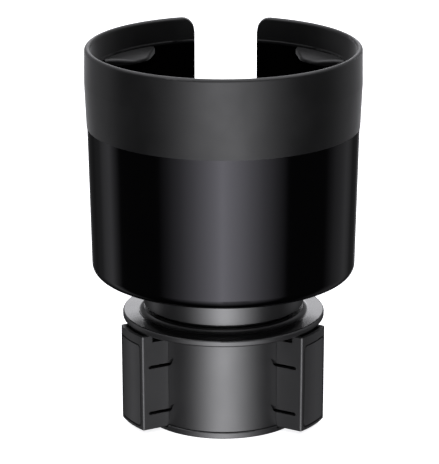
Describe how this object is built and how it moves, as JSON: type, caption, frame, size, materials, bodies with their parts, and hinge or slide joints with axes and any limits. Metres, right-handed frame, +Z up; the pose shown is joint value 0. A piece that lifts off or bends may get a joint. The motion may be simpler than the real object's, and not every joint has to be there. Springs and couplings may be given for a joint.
{
  "type": "cup holder expander",
  "caption": "Wide insulated-bottle cup with a rubber grip rim and a handle slot, on a twist base whose spreading arms grip a car's cup holder.",
  "frame": {"origin": "centre of the bottom cover's underside, which is the face the part stands on and the middle of the base", "axes": "+Z up along the twist axis, -Y towards the front of the picture, +Y towards the handle slot, +X to the right"},
  "size_m": [0.11, 0.1085, 0.1529],
  "materials": {
    "base_plastic": "satin black moulded plastic",
    "arm_plastic": "satin black moulded plastic",
    "pad_rubber": "matte black soft rubber",
    "neck_plastic": "satin black moulded plastic",
    "cup_gloss": "polished black moulded plastic",
    "ring_rubber": "matte black soft rubber",
    "mat_rubber": "matte black soft rubber",
    "scroll_plastic": "dark grey moulded plastic",
    "washer_plastic": "natural slippery plastic",
    "steel": "zinc-plated steel"
  },
  "bodies": {
    "base": {"base_housing": "base_plastic", "bottom_cover": "base_plastic", "cover_screws": "steel"},
    "cup": {"scroll_plate": "scroll_plastic", "plate_screws": "steel", "thrust_washer": "washer_plastic", "swivel_neck": "neck_plastic", "cup_screws": "steel", "cup_body": "cup_gloss", "floor_mat": "mat_rubber", "grip_ring": "ring_rubber"},
    "front_left_arm": {"arm_front_left": "arm_plastic", "pad_front_left": "pad_rubber", "follower_pin_front_left": "steel"},
    "front_right_arm": {"arm_front_right": "arm_plastic", "pad_front_right": "pad_rubber", "follower_pin_front_right": "steel"},
    "rear_arm": {"arm_rear": "arm_plastic", "pad_rear": "pad_rubber", "follower_pin_rear": "steel"}
  },
  "joints": [
    {"name": "cup_twist", "type": "hinge", "parent": "base", "child": "cup", "pos_m": [0, 0, 0.0443], "axis": [0, 0, 1], "range_deg": [-45, 75]},
    {"name": "front_left_slide", "type": "slide", "parent": "base", "child": "front_left_arm", "axis": [-0.866, -0.5, 0], "range_m": [-0.0075, 0.0045]},
    {"name": "front_right_slide", "type": "slide", "parent": "base", "child": "front_right_arm", "axis": [0.866, -0.5, 0], "range_m": [-0.0075, 0.0045]},
    {"name": "rear_slide", "type": "slide", "parent": "base", "child": "rear_arm", "axis": [0, 1, 0], "range_m": [-0.0075, 0.0045]}
  ],
  "couplings": [
    {"joint": "front_left_slide", "follows": "cup_twist", "m_per_rad": -0.0057295},
    {"joint": "front_right_slide", "follows": "cup_twist", "m_per_rad": -0.0057295},
    {"joint": "rear_slide", "follows": "cup_twist", "m_per_rad": -0.0057295}
  ]
}
